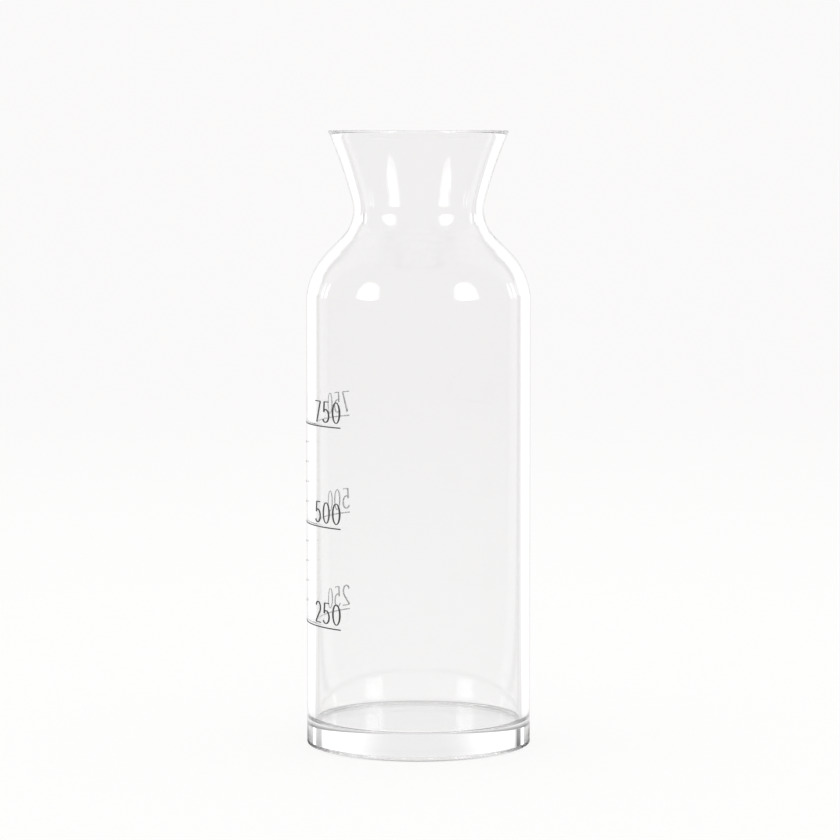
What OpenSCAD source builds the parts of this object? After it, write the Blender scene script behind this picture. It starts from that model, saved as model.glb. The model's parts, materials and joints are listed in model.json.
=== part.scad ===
// Water carafe in clear glass: a straight body, a rounded shoulder, a narrow waist and a
// flared mouth, with a printed fill scale on one side of the body.
// Millimetres, +Z up. The origin is the centre of the face that the carafe stands on,
// and the scale is centred on the -X side.

/* [Body] */
// Outer diameter of the straight body
body_d = 95; // [84:0.5:110]
// Height of straight body left above the level of one litre
spare_h = 10.8; // [4:0.1:30]
// Thickness of the body's wall
body_wall = 4.1; // [2.5:0.1:6]
// Height of the floor inside, over the resting face
floor_z = 10.5; // [7:0.5:16]
// Radius between the inner wall and the floor
corner_r = 2; // [1:0.5:8]
// Radius of the outer edge of the foot
foot_round = 0.6; // [0.3:0.1:3]
// Width of the flat ring that the carafe stands on
stand_w = 1.4; // [1:0.1:6]
// Height of the shallow recess inside that ring
recess_h = 1; // [0.5:0.1:3]
// Width of the curve that leads from the ring into the recess
recess_curve = 2.5; // [2:0.1:8]

/* [Shoulder and neck] */
// Outer radius of the shoulder's curve, seen from the side
shoulder_round = 32.8; // [24:0.1:38]
// Angle at which the shoulder's curve leaves the straight body
shoulder_lead = 6.5; // [0:0.5:12]
// Angle from upright of the straight stretch between the shoulder and the neck
shoulder_slope = 45; // [38:1:60]
// Outer diameter at the waist
waist_d = 55.2; // [44:0.2:62]
// Drop from the rim to the waist
waist_drop = 33.5; // [28:0.1:40]
// Outer radius of the hollow curve below the waist
neck_round = 16; // [10:0.5:22]
// Outer radius of the short hollow curve above the waist
flare_round = 16; // [12:0.5:30]
// Angle from upright at which that curve leads into the long curve of the flare
flare_lead = 14.5; // [6:0.5:18]
// Thickness of the wall at the waist
neck_wall = 4; // [2.5:0.1:6]
// Outer diameter of the rim
rim_d = 76.6; // [68:0.2:84]
// Width of the flat top of the rim
rim_w = 4.8; // [3:0.1:6]
// Radius of the polished edges of the rim
rim_edge = 0.5; // [0.2:0.1:1]

/* [Fill scale] */
// Thickness of the printed enamel
print_t = 0.15; // [0.1:0.05:0.4]
// Angle from the middle of the scale to each of its ends
scale_angle = 47; // [35:1:60]
// Height of a level line
line_h = 0.5; // [0.3:0.1:1.2]
// Height of a graduation between two level lines
graduation_h = 0.35; // [0.2:0.05:1]
// Length of a graduation, round the body
graduation_w = 6; // [3:0.5:12]
// Height of the numerals
numeral_h = 9; // [6:0.5:12]
// Width of one numeral
numeral_w = 5.2; // [4:0.1:7]
// Gap between two numerals
numeral_gap = 1.5; // [1:0.1:4]
// Gap between a level line and the numerals on it
numeral_lift = 1.4; // [0.6:0.1:3]
// Width of an upright stroke of a numeral
thick_stroke = 0.95; // [0.6:0.05:1.4]
// Width of a level stroke of a numeral
thin_stroke = 0.42; // [0.2:0.02:0.8]

/* [Hidden] */
$fn = 128;

// One step of a drawn curve, in degrees
long_step = 1;
fine_step = 3;
edge_step = 10;
// Side of the cube that holds one litre
litre_side = 100;
// How far a cutting or trimming solid runs past what it trims
overrun = 1;

// Volumes, in millilitres, at the level lines and between two graduations
low_ml = 250;
middle_ml = 500;
high_ml = 750;
step_ml = 50;
litre_ml = 1000;

body_r = body_d / 2;
inner_r = body_r - body_wall;
waist_r = waist_d / 2;
rim_r = rim_d / 2;
stand_outer_r = body_r - foot_round;
stand_inner_r = stand_outer_r - stand_w;

// Glass that the rounding of the inner corner adds, as a ring of this section and middle radius
corner_area = corner_r * corner_r * (1 - PI / 4);
corner_share = (10 - 3 * PI) / (12 - 3 * PI);
corner_mm3 = corner_area * 2 * PI * (inner_r - corner_r * corner_share);
litre_mm3 = litre_side * litre_side * litre_side;

// Height of the surface of this many millilitres of water in the straight body
function level_z(ml) = floor_z + (litre_mm3 * ml / litre_ml + corner_mm3) / (PI * inner_r * inner_r);

// The straight body is as tall as a litre and its spare height need
shoulder_z = level_z(litre_ml) + spare_h;

// Centre of the shoulder's curve in the profile, as [radius, height]
shoulder_c = [body_r - shoulder_round * cos(shoulder_lead), shoulder_z - shoulder_round * sin(shoulder_lead)];

// The shoulder turns in by the slope's angle, or by less where its curve and the neck's meet
// before that. A straight stretch joins the two curves.
curves_r = shoulder_round + neck_round;
curves_apart = waist_r + neck_round - shoulder_c[0];
slope = min(shoulder_slope, acos(curves_apart / curves_r));
stretch = (curves_r * cos(slope) - curves_apart) / sin(slope);
waist_z = shoulder_c[1] + curves_r * sin(slope) + stretch * cos(slope);
height = waist_z + waist_drop;

// Centres of the neck's and the flare's curves
neck_c = [waist_r + neck_round, waist_z];
flare_c = [waist_r + flare_round, waist_z];

// The recess's curve is two like arcs, one hollow and one full, and each turns by this angle
recess_turn = 2 * atan(recess_h / recess_curve);
recess_arc_r = recess_h / 2 / (1 - cos(recess_turn));

// Points on an oval curve, from one angle to another
function oval(c, rx, ry, from, to, step) =
    let (n = max(1, ceil(abs(to - from) / step)))
    [for (i = [0:n]) let (a = from + (to - from) * i / n) [c[0] + rx * cos(a), c[1] + ry * sin(a)]];

function arc(c, r, from, to, step) = oval(c, r, r, from, to, step);

function unit(v) = v / norm(v);

// A corner b between a and c, rounded to radius r
function rounded(a, b, c, r) =
    let (
        u = unit(a - b),
        v = unit(c - b),
        half = acos(u * v) / 2,
        centre = b + unit(u + v) * r / sin(half),
        start = b + u * r / tan(half) - centre,
        from = atan2(start[1], start[0]),
        side = (b[0] - a[0]) * (c[1] - b[1]) - (b[1] - a[1]) * (c[0] - b[0]) > 0 ? 1 : -1
    )
    arc(centre, r, from, from + side * (180 - 2 * half), edge_step);

// Angle at which the shoulder's curve on one face of the wall leaves the straight body
function lead_angle(wall) = acos((shoulder_round * cos(shoulder_lead) - wall) / (shoulder_round - wall));

// Angle, at both curves, of the straight stretch that touches the shoulder and the neck
function slope_angle(shoulder_r, neck_r) =
    let (d = neck_c - shoulder_c)
    atan2(d[1], d[0]) - acos((shoulder_r + neck_r) / norm(d));

// The long curve of the flare, from the short one's end up to a point of the rim, without that
// point. Its radius follows from its two ends and the direction at its start.
function long_curve(start, rim_point) =
    let (
        chord = rim_point - start,
        half = atan2(chord[0], chord[1]) - flare_lead,
        r = norm(chord) / 2 / sin(half),
        c = start + r * [cos(flare_lead), -sin(flare_lead)],
        points = arc(c, r, 180 - flare_lead, 180 - flare_lead - 2 * half, long_step)
    )
    [for (i = [1:len(points) - 2]) points[i]];

// Shoulder, neck and flare of one face of the wall, upwards. The wall of the face is its
// distance inside the outer face, at the shoulder and at the waist.
function upper_side(wall_low, wall_high, rim_point) =
    let (
        turn_in = slope_angle(shoulder_round - wall_low, neck_round + wall_high),
        short_curve = arc(flare_c, flare_round + wall_high, 180, 180 - flare_lead, fine_step)
    )
    concat(
        arc(shoulder_c, shoulder_round - wall_low, lead_angle(wall_low), turn_in, fine_step),
        arc(neck_c, neck_round + wall_high, 180 + turn_in, 180, fine_step),
        short_curve,
        long_curve(short_curve[len(short_curve) - 1], rim_point)
    );

function reversed(points) = [for (i = [len(points) - 1:-1:0]) points[i]];

rim_out = [rim_r, height];
rim_in = [rim_r - rim_w, height];
outer_side = upper_side(0, 0, rim_out);
inner_side = upper_side(body_wall, neck_wall, rim_in);
outer_end = outer_side[len(outer_side) - 1];
inner_end = inner_side[len(inner_side) - 1];

// The underside from the axis out: the recess, its curve and the start of the ring
underside = concat(
    [[0, recess_h]],
    arc([stand_inner_r - recess_curve, recess_h - recess_arc_r], recess_arc_r, 90, 90 - recess_turn, fine_step),
    arc([stand_inner_r, recess_arc_r], recess_arc_r, -90 - recess_turn, -90, fine_step)
);

// The section of the glass from the axis out, as [radius, height]
module glass_section() {
    polygon(concat(
        underside,
        rounded([0, 0], [body_r, 0], [body_r, shoulder_z], foot_round),
        outer_side,
        rounded(outer_end, rim_out, rim_in, rim_edge),
        rounded(rim_out, rim_in, inner_end, rim_edge),
        reversed(inner_side),
        rounded([inner_r, shoulder_z], [inner_r, floor_z], [0, floor_z], corner_r),
        [[0, floor_z]]
    ));
}

module glass_vessel() {
    color("#dfe7e8", 0.35) rotate_extrude() glass_section();
}

// Enamel on the body between two heights
module enamel_shell(low, high) {
    translate([0, 0, low]) difference() {
        cylinder(r = body_r + print_t, h = high - low);
        translate([0, 0, -overrun]) cylinder(r = body_r, h = high - low + 2 * overrun);
    }
}

// A band of enamel round the body, between two angles from the middle of the scale.
// Angles grow towards -Y, which is to the right of someone who reads the scale.
module enamel_band(from, to, z, h) {
    color("#3a3a3c") rotate([0, 0, 180 + from]) rotate_extrude(angle = to - from)
        translate([body_r, z - h / 2]) square([print_t, h]);
}

// Half of a stroke's width, by the stroke's direction: uprights are thick, levels are thin
function half_stroke(a) = (thin_stroke + (thick_stroke - thin_stroke) * abs(sin(a))) / 2;

// A pen stroke along a path
module stroke(path) {
    last = len(path) - 1;
    edges = [for (i = [0:last])
        let (
            d = path[min(i + 1, last)] - path[max(i - 1, 0)],
            a = atan2(d[1], d[0]),
            n = [-sin(a), cos(a)] * half_stroke(a)
        )
        [path[i] + n, path[i] - n]];
    polygon(concat([for (e = edges) e[0]], reversed([for (e = edges) e[1]])));
}

// Places in a numeral, in shares of its width and height
function at(x_share, y_share) = [numeral_w * x_share, numeral_h * y_share];

// Middle of a stroke that lies along the top or the foot of a numeral
top_y = numeral_h - thin_stroke / 2;
foot_y = thin_stroke / 2;

module numeral_0() {
    centre = at(0.5, 0.5);
    difference() {
        polygon(oval(centre, numeral_w / 2, numeral_h / 2, 0, 360 - edge_step, edge_step));
        polygon(oval(centre, numeral_w / 2 - thick_stroke, numeral_h / 2 - thin_stroke,
            0, 360 - edge_step, edge_step));
    }
}

module numeral_2() {
    bowl_x_share = 0.48;
    bowl_w_share = 0.4;
    bowl_h_share = 0.27;
    side_share = 0.04;
    bowl_c = [numeral_w * bowl_x_share, top_y - numeral_h * bowl_h_share];
    left = [numeral_w * side_share, foot_y];
    stroke(concat(oval(bowl_c, numeral_w * bowl_w_share, numeral_h * bowl_h_share, 160, -35, edge_step), [left]));
    stroke([left, [numeral_w - left[0], foot_y]]);
}

module numeral_5() {
    bowl_x_share = 0.42;
    bowl_w_share = 0.46;
    bowl_h_share = 0.3;
    flag_share = 0.88;
    stem_top_share = 0.26;
    stem_foot_share = 0.18;
    bowl_c = [numeral_w * bowl_x_share, foot_y + numeral_h * bowl_h_share];
    stem_top = [numeral_w * stem_top_share, top_y];
    stem_foot = at(stem_foot_share, 0.5);
    stroke([stem_top, [numeral_w * flag_share, top_y]]);
    stroke([stem_top, stem_foot]);
    stroke(concat([stem_foot],
        oval(bowl_c, numeral_w * bowl_w_share, numeral_h * bowl_h_share, 105, -145, edge_step)));
}

module numeral_7() {
    side_share = 0.06;
    foot_share = 0.3;
    left = [numeral_w * side_share, top_y];
    right = [numeral_w - left[0], top_y];
    stroke([left, right]);
    stroke([right, at(foot_share, 0)]);
}

module numeral(digit) {
    if (digit == 0) numeral_0();
    if (digit == 2) numeral_2();
    if (digit == 5) numeral_5();
    if (digit == 7) numeral_7();
}

// Angle that a length takes up round the body
function turn(length) = length / body_r * 180 / PI;

pitch = numeral_w + numeral_gap;

// The three digits of a level, printed above its line. The end is 1 for the front end of
// the line and -1 for the rear end, and the digits line up with that end.
module numerals(level, end) {
    digits = [floor(level / 100), floor(level / 10) % 10, level % 10];
    middle = end * (scale_angle - turn(pitch + numeral_w / 2));
    foot = level_z(level) + line_h / 2 + numeral_lift;
    for (i = [0:2]) {
        color("#3a3a3c") intersection() {
            rotate([0, 0, 180 + middle + turn(pitch) * (i - 1)])
                translate([body_r - overrun, 0, foot]) rotate([90, 0, 90])
                linear_extrude(height = 2 * overrun) translate([-numeral_w / 2, 0]) numeral(digits[i]);
            enamel_shell(foot - overrun, foot + numeral_h + overrun);
        }
    }
}

module level_line(level) {
    enamel_band(-scale_angle, scale_angle, level_z(level), line_h);
}

// Short graduations in the middle of the scale, between two level lines
module graduations(low, high) {
    half = turn(graduation_w) / 2;
    for (ml = [low + step_ml:step_ml:high - step_ml]) {
        enamel_band(-half, half, level_z(ml), graduation_h);
    }
}

glass_vessel();
level_line(low_ml);  // level_line_250
level_line(middle_ml);  // level_line_500
level_line(high_ml);  // level_line_750
numerals(low_ml, 1);  // numerals_250_front
numerals(low_ml, -1);  // numerals_250_rear
numerals(middle_ml, 1);  // numerals_500_front
numerals(middle_ml, -1);  // numerals_500_rear
numerals(high_ml, 1);  // numerals_750_front
numerals(high_ml, -1);  // numerals_750_rear
graduations(low_ml, middle_ml);  // graduations_lower
graduations(middle_ml, high_ml);  // graduations_upper
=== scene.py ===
import json
import math

import bpy
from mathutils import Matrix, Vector

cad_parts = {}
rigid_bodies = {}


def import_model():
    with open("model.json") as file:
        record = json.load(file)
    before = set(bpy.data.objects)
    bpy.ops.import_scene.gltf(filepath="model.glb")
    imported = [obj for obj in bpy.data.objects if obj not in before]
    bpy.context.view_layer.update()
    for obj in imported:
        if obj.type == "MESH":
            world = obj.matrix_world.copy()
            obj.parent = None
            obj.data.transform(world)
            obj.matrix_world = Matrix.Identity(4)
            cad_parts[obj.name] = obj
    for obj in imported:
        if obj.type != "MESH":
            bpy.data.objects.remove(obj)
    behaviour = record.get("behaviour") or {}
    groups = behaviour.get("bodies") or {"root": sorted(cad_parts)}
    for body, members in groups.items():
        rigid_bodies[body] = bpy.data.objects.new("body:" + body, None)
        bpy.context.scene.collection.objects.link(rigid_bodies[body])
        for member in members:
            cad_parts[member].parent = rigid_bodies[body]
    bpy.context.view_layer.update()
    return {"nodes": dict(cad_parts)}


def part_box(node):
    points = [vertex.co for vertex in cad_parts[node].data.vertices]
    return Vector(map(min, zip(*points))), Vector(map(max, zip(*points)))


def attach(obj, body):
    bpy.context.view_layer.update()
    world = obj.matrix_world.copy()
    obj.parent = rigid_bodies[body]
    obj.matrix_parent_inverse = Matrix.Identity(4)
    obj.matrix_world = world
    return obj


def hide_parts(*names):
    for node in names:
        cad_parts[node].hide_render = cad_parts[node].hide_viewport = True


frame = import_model()

# The camera stands on the -Y side, level with the rim, and looks a little down through a long
# lens. The carafe's axis lies just left of the middle of the picture.
picture_pixels = 840
focal_pixels = 3500
horizon_pixels = 290.1
axis_pixels = 1.5
camera_distance = 1.481
camera_height = 0.2606
camera_reach = 100
sensor_width = 36

bpy.ops.object.select_all(action="DESELECT")
bpy.ops.object.camera_add(location=(0, -camera_distance, camera_height))
camera = bpy.context.object
camera.name = "photo_camera"
camera.rotation_euler = (math.pi / 2 - math.atan(horizon_pixels / focal_pixels), 0, 0)
camera.data.sensor_width = sensor_width
camera.data.lens = sensor_width * focal_pixels / picture_pixels
camera.data.shift_x = axis_pixels / picture_pixels
camera.data.clip_end = camera_reach
bpy.context.scene.camera = camera
bpy.context.scene.view_settings.view_transform = "Standard"

# Light runs round inside the thick rim and foot and is mirrored many times before it leaves.
# Where such a path is cut short the glass turns black, so the limits are far above the usual.
longest_path = 96
bpy.context.scene.cycles.max_bounces = longest_path
bpy.context.scene.cycles.glossy_bounces = longest_path
bpy.context.scene.cycles.transmission_bounces = longest_path

# The studio is white paper all round. Seen straight or through the glass it is plain white, and
# it lights the object evenly. Mirrored in the glass it is a little dim on the camera's side, and
# behind the carafe bright, with a grey strip at each side of that and a darker middle.
paper_white = (0.962, 0.951, 0.949, 1)
full_white = (1, 1, 1, 1)
mirrored_brightness = {-1: 0.88, 0: 0.88, 0.5: 0.9, 0.6: 0.94, 0.65: 0.87, 0.72: 0.87, 0.77: 1.2,
                       0.97: 1.2, 0.985: 0.95, 1: 0.5}
often_brightness = 1.0


def add_node(tree, kind, inputs, **settings):
    """A shader node with its settings, its inputs fed with values or with other nodes' outputs."""
    node = tree.nodes.new("ShaderNode" + kind)
    for name, value in settings.items():
        setattr(node, name, value)
    for name, value in inputs.items():
        if isinstance(value, bpy.types.NodeSocket):
            tree.links.new(value, node.inputs[name])
        else:
            node.inputs[name].default_value = value
    return node


def add_depth_test(tree, depth, times):
    """A value that is 1 on a path with at least so many mirrorings or passes, and otherwise 0."""
    path = add_node(tree, "LightPath", {})
    half_step = 0.5
    test = add_node(tree, "Math", {0: path.outputs[depth], 1: times - half_step}, operation="GREATER_THAN")
    return test.outputs[0]


def add_curve(tree, value, levels):
    """The level at a value, on straight stretches between the given points."""
    start, end, highest = min(levels), max(levels), max(levels.values())
    share = add_node(tree, "MapRange", {"Value": value, "From Min": start, "From Max": end})
    ramp = add_node(tree, "ValToRGB", {"Fac": share.outputs["Result"]})
    stops = ramp.color_ramp.elements
    for place, level in levels.items():
        if place == start:
            stop = stops[0]
        elif place == end:
            stop = stops[-1]
        else:
            stop = stops.new((place - start) / (end - start))
        grey = level / highest
        stop.color = (grey, grey, grey, 1)
    return add_node(tree, "Math", {0: ramp.outputs["Color"], 1: highest}, operation="MULTIPLY").outputs[0]


def add_mirrored_light(tree, direction):
    """How bright the glass mirrors the studio in this direction, by how far it points along +Y."""
    axes = add_node(tree, "SeparateXYZ", {0: direction})
    level = add_node(tree, "Mix", {
        "Factor": add_depth_test(tree, "Glossy Depth", 2),
        "A": add_curve(tree, axes.outputs["Y"], mirrored_brightness),
        "B": often_brightness,
    })
    return level.outputs["Result"]


studio = bpy.data.worlds.new("studio")
bpy.context.scene.world = studio
studio.use_nodes = True
tree = studio.node_tree
direction = add_node(tree, "TexCoord", {})
level = add_node(tree, "Mix", {
    "Factor": add_depth_test(tree, "Glossy Depth", 1),
    "A": 1,
    "B": add_mirrored_light(tree, direction.outputs["Generated"]),
})
path = add_node(tree, "LightPath", {})
tint = add_node(tree, "Mix", {
    "Factor": path.outputs["Is Diffuse Ray"],
    "A": paper_white,
    "B": full_white,
}, data_type="RGBA")
backdrop = tree.nodes["Background"]
tree.links.new(level.outputs["Result"], backdrop.inputs["Strength"])
tree.links.new(tint.outputs["Result"], backdrop.inputs["Color"])

# The floor is a sheet of the same paper, so wide that its edge can't be told from the backdrop.
# Part of its light is its own, as of paper lit from below, so that the carafe's shadow is faint.
# Through the glass it shows a dark ring of painted shade close round the foot, and straight on a
# thin painted shadow is laid where the foot touches.
floor_width = 60
floor_drop = 0.0001
painted_pool_white = (1.0, 0.994, 0.99, 1)
painted_pool_reach = 2.2
own_light = 0.85
painted_shade_at_sides = {0: 0.97, 0.044: 0.97, 0.0455: 0.3, 0.0478: 0.05, 0.058: 0.08, 0.07: 0.6, 0.09: 1}
painted_shade_at_ends = {0: 0.97, 0.044: 0.97, 0.0455: 0.3, 0.0478: 0.1, 0.051: 0.4, 0.056: 0.95, 0.09: 1}
touching_shadow = {0: 1, 0.046: 1, 0.0468: 0.35, 0.0477: 0.4, 0.0493: 1, 0.09: 1}
ring_turn = 6
wall_at = 0.045

bpy.ops.mesh.primitive_plane_add(size=floor_width, location=(0, 0, -floor_drop))
floor = bpy.context.object
floor.name = "paper_floor"
paper = bpy.data.materials.new("floor_paper")
paper.use_nodes = True
tree = paper.node_tree
place = add_node(tree, "TexCoord", {}).outputs["Object"]
distance = add_node(tree, "VectorMath", {0: place}, operation="LENGTH").outputs["Value"]
# Close to the carafe the paper is painted brighter, a painted pool of light that fades to plain paper far
# off.
away = add_node(tree, "MapRange", {
    "Value": distance,
    "From Max": painted_pool_reach,
}, interpolation_type="SMOOTHSTEP")
paper_and_painted_pool = add_node(tree, "Mix", {
    "Factor": away.outputs["Result"],
    "A": painted_pool_white,
    "B": paper_white,
}, data_type="RGBA").outputs["Result"]

# How far a place lies to the front or back of the foot, from 0 at its sides to 1.
outwards = add_node(tree, "VectorMath", {0: place}, operation="NORMALIZE")
heading = add_node(tree, "SeparateXYZ", {0: outwards.outputs["Vector"]})
along = add_node(tree, "Math", {0: heading.outputs["Y"]}, operation="ABSOLUTE")
towards_ends = add_node(tree, "Math", {0: along.outputs[0], 1: ring_turn}, operation="POWER").outputs[0]

# The painted shade ring that the glass shows, and the painted shadow that is seen straight.
painted_shade_level = add_node(tree, "Mix", {
    "Factor": towards_ends,
    "A": add_curve(tree, distance, painted_shade_at_sides),
    "B": add_curve(tree, distance, painted_shade_at_ends),
})
shadow_level = add_node(tree, "Mix", {
    "Factor": towards_ends,
    "A": 1,
    "B": add_curve(tree, distance, touching_shadow),
})
# Seen through the glass the floor is all its own light: the painted shade ring, and none of the real shadow
# under the carafe.
through_glass = add_depth_test(tree, "Transmission Depth", 1)
own_level = add_node(tree, "Mix", {
    "Factor": through_glass,
    "A": shadow_level.outputs["Result"],
    "B": add_curve(tree, distance, painted_shade_at_ends),
})
lit_sheet = add_node(tree, "Emission", {"Color": paper_and_painted_pool, "Strength": own_level.outputs["Result"]})
sheet = tree.nodes["Principled BSDF"]
sheet.inputs["Roughness"].default_value = 1
sheet.inputs["Specular IOR Level"].default_value = 0
tree.links.new(paper_and_painted_pool, sheet.inputs["Base Color"])
own_share = add_node(tree, "Math", {0: through_glass, 1: own_light}, operation="MAXIMUM")
straight = add_node(tree, "MixShader", {
    0: own_share.outputs[0],
    1: sheet.outputs[0],
    2: lit_sheet.outputs[0],
})

# Mirrored rays leave the glass near its sides, so the direction is taken from there.
spot = add_node(tree, "SeparateXYZ", {0: place})
to_side = add_node(tree, "Math", {0: spot.outputs["X"]}, operation="ABSOLUTE")
past_wall = add_node(tree, "Math", {0: to_side.outputs[0], 1: wall_at}, operation="SUBTRACT")
way = add_node(tree, "CombineXYZ", {"X": past_wall.outputs[0], "Y": spot.outputs["Y"]})
from_wall = add_node(tree, "VectorMath", {0: way.outputs["Vector"]}, operation="NORMALIZE")
# Seen mirrored, the floor glows with painted light, the studio's mirrored brightness in that direction,
# darkened by the painted shade ring.
mirrored_level = add_node(tree, "Math", {
    0: painted_shade_level.outputs["Result"],
    1: add_mirrored_light(tree, from_wall.outputs["Vector"]),
}, operation="MULTIPLY")
mirrored_sheet = add_node(tree, "Emission", {"Color": paper_white, "Strength": mirrored_level.outputs[0]})
choice = add_node(tree, "MixShader", {
    0: add_depth_test(tree, "Glossy Depth", 1),
    1: straight.outputs[0],
    2: mirrored_sheet.outputs[0],
})
tree.links.new(choice.outputs[0], tree.nodes["Material Output"].inputs["Surface"])
floor.data.materials.append(paper)

# Cards stand far off round the carafe, as for any photograph of glass, and only the glass mirrors
# them: a tall softbox at each side of the camera, a low one at each side behind, a dark flag and
# a white card beside each low one, and a grey card straight behind.
card_distance = 20
card_half = 0.5
top_taper = 0.5
edge_fade = 0.3
squareness = 2.8
cards = {
    "softbox_front_left": {"azimuth": -56, "width": 31, "low": 6, "high": 35, "brightness": 3.5},
    "softbox_front_right": {"azimuth": 52.8, "width": 33, "low": 6, "high": 36, "brightness": 3.5},
    "softbox_rear_left": {"azimuth": -118, "width": 6, "low": 3, "high": 18, "brightness": 3.5},
    "softbox_rear_right": {"azimuth": 118, "width": 6, "low": 3, "high": 18, "brightness": 3.5},
    "flag_rear_left": {"azimuth": -125.5, "width": 7, "low": 2, "high": 18, "brightness": 0.25},
    "flag_rear_right": {"azimuth": 126, "width": 8, "low": 2, "high": 18, "brightness": 0.7},
    "white_card_left": {"azimuth": -143.5, "width": 36, "low": 4, "high": 15, "brightness": 1.3},
    "white_card_right": {"azimuth": 143.5, "width": 36, "low": 4, "high": 15, "brightness": 1.3},
    "grey_card_behind": {"azimuth": 180, "width": 56, "low": 1, "high": 20, "brightness": 0.92,
                         "fade": 0.97, "corner_power": 2},
}


def card_light(name, brightness, fade, corner_power):
    """Light that only mirrored rays see, in a rounded outline, narrower at the top, with a soft edge."""
    light = bpy.data.materials.new(name)
    light.use_nodes = True
    light.cycles.emission_sampling = "NONE"
    tree = light.node_tree
    tree.nodes.remove(tree.nodes["Principled BSDF"])
    place = add_node(tree, "TexCoord", {})
    sides = add_node(tree, "SeparateXYZ", {0: place.outputs["Object"]})
    narrowing = add_node(tree, "MapRange", {
        "Value": sides.outputs["Y"],
        "From Min": -card_half,
        "From Max": card_half,
        "To Min": 1 / card_half,
        "To Max": (1 + top_taper) / card_half,
    })
    parts = []
    for side, stretch in (("X", narrowing.outputs["Result"]), ("Y", 1 / card_half)):
        across = add_node(tree, "Math", {0: sides.outputs[side]}, operation="ABSOLUTE")
        share = add_node(tree, "Math", {0: across.outputs[0], 1: stretch}, operation="MULTIPLY")
        power = add_node(tree, "Math", {0: share.outputs[0], 1: corner_power}, operation="POWER")
        parts.append(power.outputs[0])
    outline = add_node(tree, "Math", {0: parts[0], 1: parts[1]}, operation="ADD")
    edge = add_node(tree, "MapRange", {
        "Value": outline.outputs[0],
        "From Min": 1 - fade,
        "To Min": 1,
        "To Max": 0,
    }, interpolation_type="SMOOTHSTEP")
    mirrored = add_depth_test(tree, "Glossy Depth", 1)
    shown = add_node(tree, "Math", {0: edge.outputs["Result"], 1: mirrored}, operation="MULTIPLY")
    clear = add_node(tree, "BsdfTransparent", {})
    glow = add_node(tree, "Emission", {"Strength": brightness})
    choice = add_node(tree, "MixShader", {0: shown.outputs[0], 1: clear.outputs[0], 2: glow.outputs[0]})
    tree.links.new(choice.outputs[0], tree.nodes["Material Output"].inputs["Surface"])
    return light


def put_up_card(name, azimuth, width, low, high, brightness, fade=edge_fade, corner_power=squareness):
    """A card at an azimuth from the camera's side, with its width and its two edges in degrees."""
    angle = math.radians(azimuth)
    bottom = card_distance * math.tan(math.radians(low))
    top = card_distance * math.tan(math.radians(high))
    place = (math.sin(angle) * card_distance, -math.cos(angle) * card_distance, (bottom + top) / 2)
    bpy.ops.mesh.primitive_plane_add(size=2 * card_half, location=place, rotation=(math.pi / 2, 0, angle))
    card = bpy.context.object
    card.name = name
    card.scale = (2 * card_distance * math.tan(math.radians(width / 2)), top - bottom, 1)
    card.data.materials.append(card_light(name, brightness, fade, corner_power))
    card.visible_diffuse = False
    card.visible_shadow = False


for name, card in cards.items():
    put_up_card(name, **card)

# The vessel is one piece of clear, colourless glass, blown in a mould and turned while it was
# soft, so that it has no seam. Its foot is thick and a little hollow underneath, and its rim is
# cut flat and polished with a flame.
body_r = 0.0475
body_wall = 0.0041
floor_z = 0.0105
corner_r = 0.002
foot_round = 0.0006
stand_w = 0.0014
recess_h = 0.001
recess_curve = 0.0025
shoulder_round = 0.0328
shoulder_lead = 6.5
shoulder_slope = 45
waist_r = 0.0276
waist_drop = 0.0335
neck_round = 0.016
flare_round = 0.016
flare_lead = 14.5
neck_wall = 0.004
rim_r = 0.0383
rim_w = 0.0048
rim_edge = 0.0005
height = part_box("glass_vessel")[1].z

# Steps along the curves in degrees, the number of steps round the axis, and what keeps flats flat.
curve_step = 2
long_step = 0.5
recess_step = 4
corner_step = 5
foot_step = 10
rim_step = 20
steps_round = 256
flat_from = 0.003
flat_gap = 0.0003
same_place = 1e-6
smooth_angle = 35


def arc_points(centre, radius, start, end, step=curve_step):
    """Points on an arc in the section, as (radius, height), between two angles in degrees."""
    count = max(1, math.ceil(abs(end - start) / step))
    angles = [math.radians(start + (end - start) * i / count) for i in range(count + 1)]
    return [Vector((centre[0] + radius * math.cos(a), centre[1] + radius * math.sin(a))) for a in angles]


def rounded(before, corner, after, radius, step):
    """Points of the arc that rounds a corner of the section."""
    u, v = (before - corner).normalized(), (after - corner).normalized()
    half = math.acos(u.dot(v)) / 2
    centre = corner + (u + v).normalized() * radius / math.sin(half)
    start = corner + u * radius / math.tan(half) - centre
    from_angle = math.degrees(math.atan2(start.y, start.x))
    side = 1 if (corner - before).cross(after - corner) > 0 else -1
    return arc_points(centre, radius, from_angle, from_angle + side * (180 - math.degrees(2 * half)), step)


lead = math.radians(shoulder_lead)
slope = math.radians(shoulder_slope)
waist_z = height - waist_drop
curves_r = shoulder_round + neck_round
shoulder_c = Vector((body_r - shoulder_round * math.cos(lead), 0))
curves_apart = waist_r + neck_round - shoulder_c.x
stretch = (curves_r * math.cos(slope) - curves_apart) / math.sin(slope)
shoulder_c.y = waist_z - curves_r * math.sin(slope) - stretch * math.cos(slope)
shoulder_z = shoulder_c.y + shoulder_round * math.sin(lead)
neck_c = Vector((waist_r + neck_round, waist_z))
flare_c = Vector((waist_r + flare_round, waist_z))


def long_curve(start, rim_point):
    """The flare's long curve, from the short one's end up to a point of the rim, without its ends."""
    chord = rim_point - start
    half = math.degrees(math.atan2(chord.x, chord.y)) - flare_lead
    radius = chord.length / 2 / math.sin(math.radians(half))
    turn = math.radians(flare_lead)
    centre = start + Vector((math.cos(turn), -math.sin(turn))) * radius
    return arc_points(centre, radius, 180 - flare_lead, 180 - flare_lead - 2 * half, long_step)[1:-1]


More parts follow.
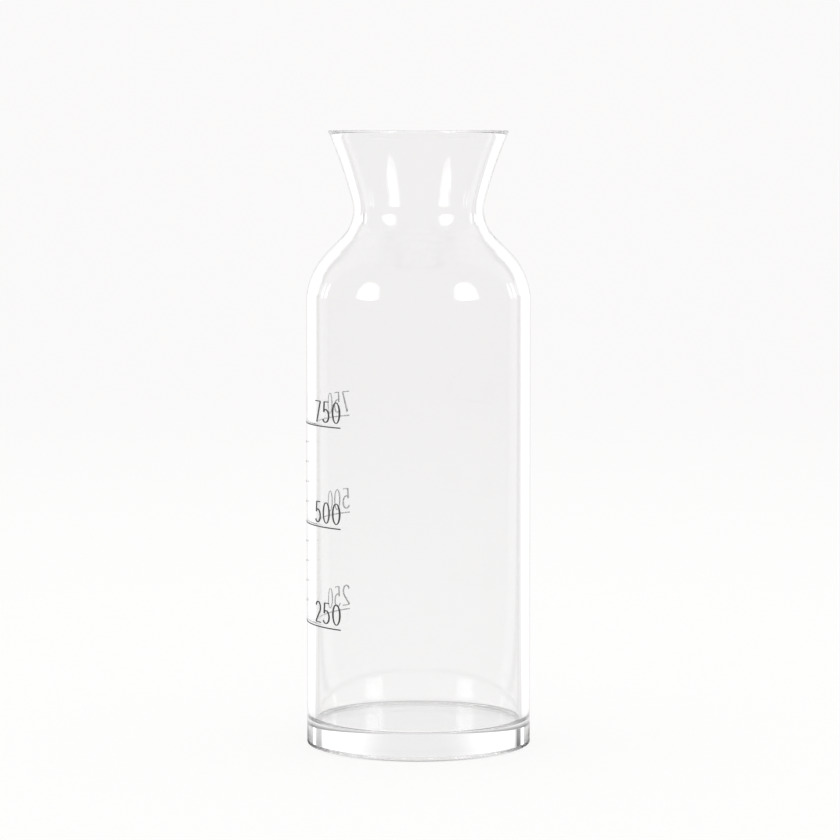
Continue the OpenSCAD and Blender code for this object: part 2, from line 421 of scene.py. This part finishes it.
def upper_side(wall_low, wall_high, rim_point):
    """Shoulder, neck and flare of one face of the wall, upwards."""
    low_r, high_r, flare_r = shoulder_round - wall_low, neck_round + wall_high, flare_round + wall_high
    lead_in = math.degrees(math.acos((shoulder_round * math.cos(lead) - wall_low) / low_r))
    between = neck_c - shoulder_c
    turn_in = math.degrees(math.atan2(between.y, between.x) - math.acos((low_r + high_r) / between.length))
    short_curve = arc_points(flare_c, flare_r, 180, 180 - flare_lead)
    return (arc_points(shoulder_c, low_r, lead_in, turn_in)
            + arc_points(neck_c, high_r, 180 + turn_in, 180)
            + short_curve[1:]
            + long_curve(short_curve[-1], rim_point))


def held_straight(points):
    """The same outline, with points near both ends of each straight stretch, so that it shades flat."""
    held = [points[0]]
    for before, after in zip(points, points[1:]):
        along = after - before
        if along.length > flat_from:
            held += [before + along.normalized() * flat_gap, after - along.normalized() * flat_gap]
        held.append(after)
    return held


stand_inner_r = body_r - foot_round - stand_w
recess_turn = 2 * math.degrees(math.atan(recess_h / recess_curve))
recess_arc_r = recess_h / 2 / (1 - math.cos(math.radians(recess_turn)))
recess = (arc_points((stand_inner_r - recess_curve, recess_h - recess_arc_r), recess_arc_r,
                     90, 90 - recess_turn, recess_step)
          + arc_points((stand_inner_r, recess_arc_r), recess_arc_r,
                       -90 - recess_turn, -90, recess_step)[1:])

inner_r = body_r - body_wall
foot_middle = Vector((0, 0))
foot_corner = Vector((body_r, 0))
floor_corner = Vector((inner_r, floor_z))
floor_middle = Vector((0, floor_z))
rim_out = Vector((rim_r, height))
rim_in = Vector((rim_r - rim_w, height))
outer_side = upper_side(0, 0, rim_out)
inner_side = upper_side(body_wall, neck_wall, rim_in)
section = held_straight(
    [Vector((0, recess_h))] + recess
    + rounded(foot_middle, foot_corner, Vector((body_r, shoulder_z)), foot_round, foot_step)
    + outer_side
    + rounded(outer_side[-1], rim_out, rim_in, rim_edge, rim_step)
    + rounded(rim_out, rim_in, inner_side[-1], rim_edge, rim_step)
    + inner_side[::-1]
    + rounded(Vector((inner_r, shoulder_z)), floor_corner, floor_middle, corner_r, corner_step)
    + [floor_middle])

bpy.ops.object.select_all(action="DESELECT")
bpy.ops.mesh.primitive_plane_add(size=recess_h, location=(0, 0, recess_h))
vessel = bpy.context.object
vessel.name = "vessel"
bpy.ops.object.mode_set(mode="EDIT")
bpy.ops.mesh.select_all(action="SELECT")
bpy.ops.mesh.merge(type="CENTER")
for before, after in zip(section, section[1:]):
    step = after - before
    bpy.ops.mesh.extrude_region_move(TRANSFORM_OT_translate={"value": (step.x, 0, step.y)})
bpy.ops.mesh.select_all(action="SELECT")
bpy.ops.mesh.spin(steps=steps_round, angle=2 * math.pi, center=(0, 0, 0), axis=(0, 0, 1), use_auto_merge=True)
bpy.ops.mesh.select_all(action="SELECT")
bpy.ops.mesh.remove_doubles(threshold=same_place)
bpy.ops.mesh.normals_make_consistent(inside=False)
bpy.ops.object.mode_set(mode="OBJECT")
bpy.ops.object.transform_apply(location=True, rotation=True, scale=True)
bpy.ops.object.shade_smooth_by_angle(angle=math.radians(smooth_angle))

# Clear glass, with the trace of grey that its iron leaves in thick places, and with the faint
# upright waves of a turned mould in its skin.
glass_ior = 1.52
glass_clear = (0.966, 0.965, 0.965, 1)
absorbed_colour = (0.9, 0.9, 0.9, 1)
absorption = 4
wave_scale = (60, 60, 1.5)
wave_strength = 0.3
wave_depth = 0.00005

clear_glass = bpy.data.materials.new("clear_glass")
clear_glass.use_nodes = True
tree = clear_glass.node_tree
glass = tree.nodes["Principled BSDF"]
glass.inputs["Base Color"].default_value = glass_clear
glass.inputs["Roughness"].default_value = 0
glass.inputs["IOR"].default_value = glass_ior
glass.inputs["Transmission Weight"].default_value = 1
depth_tint = add_node(tree, "VolumeAbsorption", {"Color": absorbed_colour, "Density": absorption})
tree.links.new(depth_tint.outputs[0], tree.nodes["Material Output"].inputs["Volume"])
place = add_node(tree, "TexCoord", {}).outputs["Object"]
drawn_out = add_node(tree, "Mapping", {"Vector": place, "Scale": wave_scale})
waves = add_node(tree, "TexNoise", {"Vector": drawn_out.outputs["Vector"], "Scale": 1, "Detail": 1})
skin = add_node(tree, "Bump", {
    "Height": waves.outputs["Fac"],
    "Strength": wave_strength,
    "Distance": wave_depth,
})
tree.links.new(skin.outputs["Normal"], glass.inputs["Normal"])
vessel.data.materials.append(clear_glass)
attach(vessel, "root")
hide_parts("glass_vessel")

# The fill scale is near-black ceramic enamel, screen printed on the outside of the body and fired,
# so that it has melted into the skin of the glass. Its back, where the print is seen through the
# glass from inside, is coloured pale.
print_t = 0.00015
sunk_depth = 0.00005
enamel_black = (0.022, 0.022, 0.024, 1)
enamel_worn = (0.05, 0.05, 0.052, 1)
enamel_back = (0.94, 0.94, 0.94, 1)
grain_scale = 1800
grain_detail = 3
grain_roughness = (0.32, 0.55)
grain_depth = 0.00002

enamel = bpy.data.materials.new("printed_enamel")
enamel.use_nodes = True
tree = enamel.node_tree
place = add_node(tree, "TexCoord", {})
grain = add_node(tree, "TexNoise", {
    "Vector": place.outputs["Object"],
    "Scale": grain_scale,
    "Detail": grain_detail,
}).outputs["Fac"]
front = add_node(tree, "Mix", {"Factor": grain, "A": enamel_black, "B": enamel_worn}, data_type="RGBA")

# The back of a mark is told from its front by its normal, which points towards the axis.
outwards = add_node(tree, "VectorMath", {0: place.outputs["Object"], 1: (1, 1, 0)}, operation="MULTIPLY")
facing = add_node(tree, "VectorMath", {
    0: outwards.outputs["Vector"],
    1: place.outputs["Normal"],
}, operation="DOT_PRODUCT")
faces_in = add_node(tree, "Math", {0: facing.outputs["Value"], 1: -body_r / 2}, operation="LESS_THAN")
coat = add_node(tree, "Mix", {
    "Factor": faces_in.outputs[0],
    "A": front.outputs["Result"],
    "B": enamel_back,
}, data_type="RGBA")
gloss = add_node(tree, "MapRange", {
    "Value": grain,
    "To Min": grain_roughness[0],
    "To Max": grain_roughness[1],
})
screen = add_node(tree, "Bump", {"Height": grain, "Distance": grain_depth})
print_coat = tree.nodes["Principled BSDF"]
tree.links.new(coat.outputs["Result"], print_coat.inputs["Base Color"])
tree.links.new(gloss.outputs["Result"], print_coat.inputs["Roughness"])
tree.links.new(screen.outputs["Normal"], print_coat.inputs["Normal"])

# Each mark is a copy of the one in the frame, with its back sunk a little into the glass.
sunk_scale = (body_r - sunk_depth) / body_r
for name, cad_mark in frame["nodes"].items():
    if name == "glass_vessel":
        continue
    bpy.ops.object.select_all(action="DESELECT")
    cad_mark.select_set(True)
    bpy.context.view_layer.objects.active = cad_mark
    bpy.ops.object.duplicate()
    mark = bpy.context.object
    mark.name = "print_" + name
    bpy.ops.object.parent_clear(type="CLEAR_KEEP_TRANSFORM")
    bpy.ops.object.mode_set(mode="EDIT")
    bpy.ops.mesh.select_all(action="SELECT")
    bpy.ops.mesh.remove_doubles(threshold=same_place)
    bpy.ops.mesh.select_all(action="DESELECT")
    bpy.ops.object.mode_set(mode="OBJECT")
    for corner in mark.data.vertices:
        corner.select = math.hypot(corner.co.x, corner.co.y) < body_r + print_t / 2
    bpy.ops.object.mode_set(mode="EDIT")
    bpy.ops.transform.resize(value=(sunk_scale, sunk_scale, 1), center_override=(0, 0, 0))
    bpy.ops.object.mode_set(mode="OBJECT")
    mark.data.materials.clear()
    mark.data.materials.append(enamel)
    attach(mark, "root")
    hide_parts(name)
